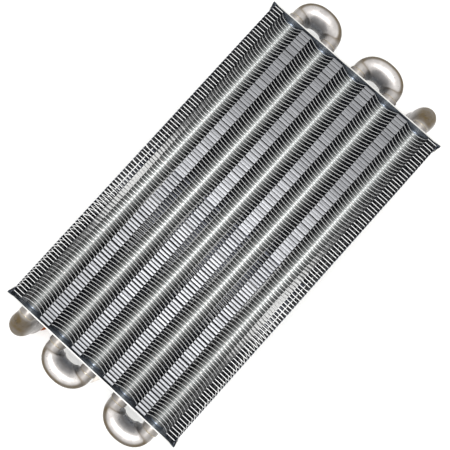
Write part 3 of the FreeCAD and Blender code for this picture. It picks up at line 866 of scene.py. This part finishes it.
def makeReturnBend(name, side, upper, node):
    build = bmesh.new()
    stain = build.verts.layers.float.new("fluxStain")
    places = bendPath()
    count = len(places)
    middleRow = tubeRows[upper - 1] - rowPitch / 2
    thin = 2 * bend["wall"]
    outer, inner, outerStain, innerStain = [], [], [], []
    for k, (x, y) in enumerate(places):
        before, after = places[max(k - 1, 0)], places[min(k + 1, count - 1)]
        along = Vector((after[0] - before[0], after[1] - before[1], 0)).normalized()
        away = Vector((along.y, -along.x, 0)) * -1  # points to the outside of the U
        turned = clamp((x - bend["leg"] - bend["blendStart"]) / bend["blendRun"])
        width = core["tubeWidth"] + bend["widen"] * turned
        height = core["tubeHeight"] - bend["crease"] * 2 * turned
        middle = Vector((x, y, 0))
        shape = bendSection(width, height, turned)
        ring, stains = [], []
        for a, b in shape:
            wrinkle = 0.0
            if a < 0 and turned > 0:
                fade = max(0.0, 1 - abs(b - bend["wrinkleMiddle"]) / bend["wrinkleFade"])
                wrinkle = bend["wrinkle"] * sin(k * bend["wrinklePhase"]) * turned * fade
            ring.append(middle + away * (a + wrinkle) + Vector((0, 0, b)))
            # flux on the outer rim, where the legs meet the turn, and thinly on the ridge
            rim = clamp((a / (width / 2) - flux["rimStart"]) / flux["rimFade"]) * clamp((b + 2) / 6)
            offMitre = abs(x - bend["leg"] - flux["mitrePlace"])
            mitre = max(0.0, 1 - offMitre / flux["mitreFade"]) * flux["mitre"] * (b > 0)
            ridge = max(0.0, 1 - abs(a) / flux["ridgeFade"]) * flux["ridge"] * (b > 0) * (1 - turned)
            rim *= flux["rimInLegs"] + (1 - flux["rimInLegs"]) * turned
            stains.append(min(1.0, max(rim, mitre, ridge)))
        outer.append(ring)
        outerStain.append(stains)
        inner.append([middle + away * a + Vector((0, 0, b))
                      for a, b in bendSection(width - thin, height - thin, turned)])
        innerStain.append([0.0] * len(shape))
    rings = outer + inner[::-1]
    rings = [[Vector((side * (core["plateFace"] + p.x), middleRow + p.y, tubeAxis + p.z)) for p in ring]
             for ring in rings]
    skinRings(build, rings, stain, outerStain + innerStain[::-1])
    outwards(build)
    return declare(newPiece(name, build, tinnedCopper, 50), "tinned_tube", node)


makeReturnBend("returnBend12", 1, 1, "return_bend_1_2")
makeReturnBend("returnBend23", -1, 2, "return_bend_2_3")
makeReturnBend("returnBend34", 1, 3, "return_bend_3_4")
makeReturnBend("returnBend45", -1, 4, "return_bend_4_5")
print("return bends formed")

elbow = {
    "start": 0.9,  # from the end plate's outer face
    "pivot": 5.0,  # and the line that it turns about
    "innerRadius": 2.0,
    "pipeRadius": 9.0,
    "tail": 14.0,
    "socket": 8.0,
    "wall": 0.9,
    "swell": 1.0,
    "widening": 0.8,  # under 1 makes the width grow early
    "wrinkle": 0.5,
    "wrinkles": 7,
    "steps": 18,
    "sides": 16,
}
pivotHeight = tubeAxis - core["tubeHeight"] / 2 - elbow["innerRadius"]
pipeOffset = elbow["pivot"] + elbow["innerRadius"] + elbow["pipeRadius"]
socketTop = pivotHeight - elbow["tail"]
socketLow = socketTop - elbow["socket"]


def blendedReach(turned):
    return core["tubeHeight"] / 2 * (1 - turned) + elbow["pipeRadius"] * turned


def blendedRing(turned, slack):
    # an oval that grows into the round pipe, as (across, up) pairs
    swell = elbow["swell"] * sin(pi * turned) ** 2
    tall = blendedReach(turned) - slack
    grown = turned ** elbow["widening"]
    wide = core["tubeWidth"] / 2 * (1 - grown) + elbow["pipeRadius"] * grown - slack + swell
    points = []
    for i in range(2 * elbow["sides"]):
        angle = pi * i / elbow["sides"]
        straight = (tall - wide) * (1 if sin(angle) >= 0 else -1)
        oval = (wide * cos(angle), wide * sin(angle) + straight)
        ellipse = (wide * cos(angle), tall * sin(angle))
        points.append([oval[j] * (1 - turned) + ellipse[j] * turned for j in (0, 1)])
    return points


def elbowSkin(slack):
    # rings along the level leg, round the turn and down, inside the outer skin by slack
    rings, stains = [], []
    stations = [("leg", elbow["start"]), ("leg", 2.6), ("leg", 4.2)]
    stations += [("turn", 90 * k / elbow["steps"]) for k in range(elbow["steps"] + 1)]
    stations += [("drop", 5.0), ("drop", -1.0), ("drop", socketTop + 1.4)]
    for kind, amount in stations:
        turned = {"leg": 0.0, "drop": 1.0}.get(kind, amount / 90)
        ring, stain = [], []
        for across, up in blendedRing(turned, slack):
            if kind == "leg":
                point = Vector((amount, across, tubeAxis + up))
            elif kind == "turn":
                lean = radians(amount)
                reach = elbow["innerRadius"] + blendedReach(turned) + up
                wrinkle = 0.0
                if slack == 0:  # only the outer skin is wrinkled, on the inside of the turn
                    inside = clamp(0.35 - up / 14) * sin(pi * turned) ** 0.5
                    wrinkle = elbow["wrinkle"] * sin(turned * elbow["wrinkles"] * pi) * inside
                reach += wrinkle
                point = Vector((elbow["pivot"] + sin(lean) * reach, across, pivotHeight + cos(lean) * reach))
                point.y += wrinkle * 0.5 * (1 if across > 0 else -1)
            else:
                point = Vector((pipeOffset + up, across, amount))
            # flux burnt on along the crown of the turn
            crown = clamp((up + 1) / 5) if kind == "turn" else 0.0
            burn = crown * clamp((turned - 0.05) / 0.1) * clamp((0.95 - turned) / 0.2)
            burn *= clamp(2.0 - abs(across) / flux["elbowFade"])
            ring.append(point)
            stain.append(min(1.0, burn * flux["elbow"]))
        rings.append(ring)
        stains.append(stain)
    return rings, stains


def roundRing(radius, height):
    steps = elbow["sides"]
    return [Vector((pipeOffset + radius * sin(pi * i / steps), radius * cos(pi * i / steps), height))
            for i in range(2 * steps)]


def makeElbow(name, side, number, node):
    build = bmesh.new()
    layer = build.verts.layers.float.new("fluxStain")
    outer, outerStain = elbowSkin(0.0)
    inner = elbowSkin(elbow["wall"])[0]
    radius, row = elbow["pipeRadius"], tubeRows[number - 1]
    # the socket that takes the pipe, down its outside and back up its bore
    socket = [(radius + 0.5, socketTop + 0.5), (radius + 0.9, socketTop - 0.2),
              (radius + 0.95, socketTop - 4.0), (radius + 0.9, socketLow + 0.6), (radius + 0.6, socketLow),
              (radius + 0.05, socketLow), (radius + 0.05, socketTop), (radius - 0.9, socketTop)]
    rings = outer + [roundRing(r, z) for r, z in socket] + inner[::-1]
    around = len(outer[0])
    stains = outerStain + [[flux["socket"]] * around] * len(socket) + [[0.0] * around] * len(inner)
    rings = [[Vector((side * (core["plateFace"] + p.x), row + side * p.y, p.z)) for p in ring]
             for ring in rings]
    skinRings(build, rings, layer, stains)
    outwards(build)
    return declare(newPiece(name, build, tinnedCopper, 50), "tinned_tube", node)


makeElbow("inletElbow", -1, 1, "inlet_elbow")
makeElbow("outletElbow", 1, 5, "outlet_elbow")

pipe = {"radius": 9.0, "slack": 0.02, "wall": 1.0, "beadRadius": 10.8, "beadHeight": 12, "sides": 40}


def makePipe(name, side, number, node):
    build = bmesh.new()
    low, high = cadBox(node)
    r, bead, bore = pipe["radius"] - pipe["slack"], pipe["beadRadius"], pipe["radius"] - pipe["wall"]
    beadLow = low.z + pipe["beadHeight"]
    # (radius, height) pairs down the outside, over the bead and back up the bore
    profile = [(r, high.z), (r, beadLow + 3.2), (r + 0.4, beadLow + 2.9), (bead - 0.5, beadLow + 2.5),
               (bead, beadLow + 1.9), (bead, beadLow + 1.1), (bead - 0.5, beadLow + 0.5),
               (r + 0.4, beadLow + 0.1), (r, beadLow - 0.2), (r, low.z + 0.4), (r - 0.3, low.z),
               (bore, low.z), (bore, high.z)]
    middle = Vector((side * (core["plateFace"] + pipeOffset), tubeRows[number - 1], 0))
    turn = [2 * pi * i / pipe["sides"] for i in range(pipe["sides"])]
    rings = []
    for radius, z in profile:
        rings.append([middle + Vector((radius * cos(t), radius * sin(t), z)) for t in turn])
    skinRings(build, rings)
    outwards(build)
    return declare(newPiece(name, build, bareCopper), "bare_copper", node)


makePipe("inletPipe", -1, 1, "inlet_pipe")
makePipe("outletPipe", 1, 5, "outlet_pipe")
print("elbows and pipes formed")

braze = {
    "bead": 0.8,
    "lump": 0.22,
    "gap": 0.9,  # added to the tube's section, so that the bead runs round its bell
    "proud": 0.15,  # past the bell's end
    "waver": 0.3,
    "waverSize": 6,
    "around": 56,
    "section": 8,
    "seed": 5,
}


def makeBrazeBlank():
    build = bmesh.new()
    oval = ovalPoints(core["tubeWidth"] + braze["gap"], core["tubeHeight"] + braze["gap"],
                      braze["around"] // 2 - 1)
    path = [Vector((0, across, up)) for across, up in oval]
    rings = []
    for k, place in enumerate(path):
        along = (path[(k + 1) % len(path)] - path[k - 1]).normalized()
        away = along.cross(Vector((1, 0, 0))).normalized()
        if away.dot(Vector((0, place.y, place.z))) < 0:
            away = -away
        lump = noise.noise(place * 0.35 + Vector((braze["seed"], 0, 0)))
        swell = braze["bead"] * (0.62 + braze["lump"] * lump)
        ring = []
        for i in range(braze["section"]):
            angle = 2 * pi * i / braze["section"]
            out = away * (swell * 0.75 * cos(angle) - 0.1)
            ring.append(place + out + Vector((swell * sin(angle), 0, 0)))
        rings.append(ring)
    skinRings(build, rings)
    outwards(build)
    return newPiece("brazeBlank", build, brazeAlloy, 60)


brazeBlank = makeBrazeBlank()
for name, side, node in (("brazeRingsLeft", -1, "braze_rings_left"),
                         ("brazeRingsRight", 1, "braze_rings_right")):
    x = side * (core["plateFace"] + bellLength + braze["proud"])
    rings = makeRow(name, 60, Blank=brazeBlank, Far_Blank=brazeBlank, Count=len(tubeRows), First=0,
                    Start=(x * mm, tubeRows[0] * mm, tubeAxis * mm), Step=(0, -rowPitch * mm, 0),
                    Wide_Gap_After=len(tubeRows), Wide_Gap=(0, 0, 0), Tilt=(0, 0, 0),
                    Waver=braze["waver"] * mm, Waver_Size=braze["waverSize"] * mm,
                    Finish=brazeAlloy, Seed=braze["seed"])
    declare(rings, "braze", node)
bpy.data.objects.remove(brazeBlank)
print("bells brazed")

# ---- pieces that keep their CAD shape

for number in range(1, 6):
    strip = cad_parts[f"turbulator_{number}"]
    strip.data.materials.clear()
    strip.data.materials.append(rolledStainless)
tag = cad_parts["corner_tag"]
tag.data.materials.clear()
tag.data.materials.append(tagSheet)

# ---- floor, light and camera

studio = {
    "floorSize": 6.0,  # metres
    "floorGap": 0.05,  # millimetres under the part
    "keyPower": 7.5,
    "keySize": 0.3,
    "keyPlace": (-0.03, -0.01, 1.15),
    "horizon": 0.55,  # strength of the surrounding light, low down and overhead
    "zenith": 1.3,
}


def makeStudio():
    build = bmesh.new()
    bmesh.ops.create_grid(build, x_segments=8, y_segments=8, size=studio["floorSize"] / 2 / mm)
    for vert in build.verts:
        vert.co.z = cadLow.z / mm - studio["floorGap"]
    floor = newPiece("studioFloor", build, makeFloor())
    world = bpy.data.worlds.new("studio")
    world.use_nodes = True
    sky = world.node_tree
    shine = sky.nodes["Background"]
    shine.inputs["Color"].default_value = toLinear("#f6f6f5")
    way = addNode(sky, "ShaderNodeTexCoord").outputs["Generated"]
    height = addNode(sky, "ShaderNodeSeparateXYZ", {"Vector": way}).outputs["Z"]
    sky.links.new(spanNode(sky, height, studio["horizon"], studio["zenith"]), shine.inputs["Strength"])
    scene.world = world
    lamp = bpy.data.lights.new("key", "AREA")
    lamp.energy = studio["keyPower"]
    lamp.size = studio["keySize"]
    light = bpy.data.objects.new("key", lamp)
    light.location = studio["keyPlace"]
    scene.collection.objects.link(light)


makeStudio()

view = {
    "eye": (-19.1, -8.3, 536.0),
    "aim": (10.25, 25.49, 49.5),
    "roll": -6.87,
    "lens": 59.6,
    "shift": (0.0403, -0.0979),
}


def makeCamera():
    lens = bpy.data.cameras.new("camera")
    lens.lens = view["lens"]
    lens.sensor_width = 36
    lens.shift_x, lens.shift_y = view["shift"]
    lens.clip_start, lens.clip_end = 0.01, 20
    camera = bpy.data.objects.new("camera", lens)
    eye, aim = Vector(view["eye"]) * mm, Vector(view["aim"]) * mm
    turn = (aim - eye).to_track_quat("-Z", "Y") @ Quaternion((0, 0, 1), radians(view["roll"]))
    camera.rotation_mode = "QUATERNION"
    camera.location = eye
    camera.rotation_quaternion = turn
    scene.collection.objects.link(camera)
    scene.camera = camera


makeCamera()
print("studio set")
